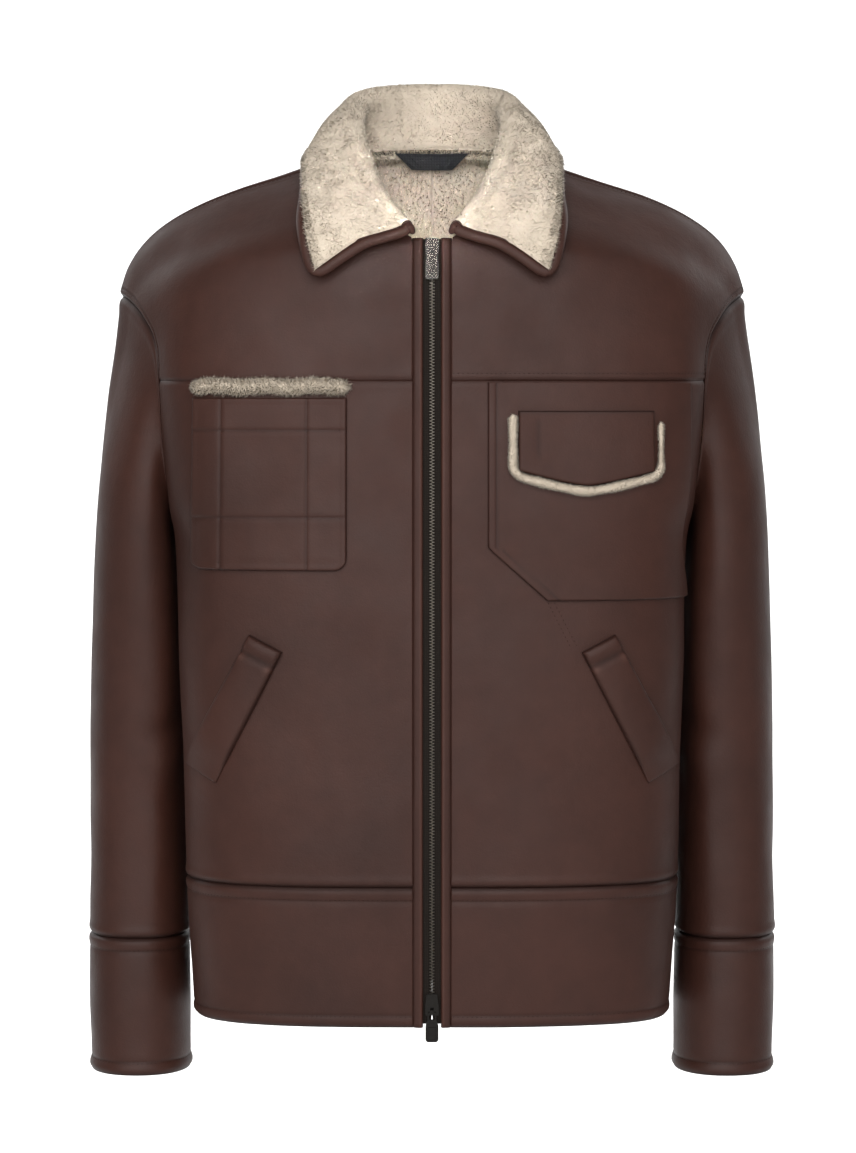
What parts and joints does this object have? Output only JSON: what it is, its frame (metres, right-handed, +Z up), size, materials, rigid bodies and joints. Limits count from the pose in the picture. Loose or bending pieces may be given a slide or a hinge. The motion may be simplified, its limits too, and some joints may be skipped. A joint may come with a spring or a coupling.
{
  "type": "sheepskin flying jacket",
  "caption": "Dark brown sheepskin flying jacket, filled out as worn: cream wool collar, two-way zip, patch pocket, flap pocket, slanted welt pockets, waistband and cuffs.",
  "frame": {"origin": "midway between the two side neck points, where the wearer's shoulders and the base of the neck hold the jacket up", "axes": "+Z up along the wearer, +X to the wearer's left, +Y to the wearer's back; the zip faces -Y"},
  "size_m": [0.5512, 0.2814, 0.7944],
  "materials": {
    "dark_brown_leather": "soft brushed nappa-like leather with a low sheen",
    "cream_wool": "dense clipped sheep's wool",
    "zip_tape": "dark brown woven tape",
    "gunmetal": "dark plated metal, smooth",
    "zip_teeth": "plain light metal teeth",
    "loop_cloth": "charcoal woven tape"
  },
  "bodies": {
    "jacket": {"waistband_front_right": "dark_brown_leather", "waistband_front_left": "dark_brown_leather", "front_panel_right": "dark_brown_leather", "front_panel_left": "dark_brown_leather", "front_yoke_right": "dark_brown_leather", "front_yoke_left": "dark_brown_leather", "back_right": "dark_brown_leather", "back_left": "dark_brown_leather", "waistband_back_right": "dark_brown_leather", "waistband_back_left": "dark_brown_leather", "sleeve_right": "dark_brown_leather", "sleeve_left": "dark_brown_leather", "cuff_right": "dark_brown_leather", "cuff_left": "dark_brown_leather", "zip_facing_right": "dark_brown_leather", "zip_facing_left": "dark_brown_leather", "patch_pocket": "dark_brown_leather", "chest_panel": "dark_brown_leather", "pocket_flap": "dark_brown_leather", "welt_right": "dark_brown_leather", "welt_left": "dark_brown_leather", "collar_edge": "dark_brown_leather", "collar": "cream_wool", "patch_pocket_trim": "cream_wool", "flap_trim": "cream_wool", "zip_tape_right": "zip_tape", "zip_tape_left": "zip_tape", "zip_chain": "zip_teeth", "slider_top": "gunmetal", "slider_bottom": "gunmetal", "hanger_loop": "loop_cloth"},
    "top_pull": {"pull_top": "gunmetal"},
    "bottom_pull": {"pull_bottom": "gunmetal"}
  },
  "joints": [
    {"name": "top_pull_swing", "type": "hinge", "parent": "jacket", "child": "top_pull", "pos_m": [0, -0.12331, -0.07542], "axis": [-1, 0, 0], "range_deg": [0, 150]},
    {"name": "bottom_pull_swing", "type": "hinge", "parent": "jacket", "child": "bottom_pull", "pos_m": [0, -0.14253, -0.65979], "axis": [-1, 0, 0], "range_deg": [0, 150]}
  ]
}
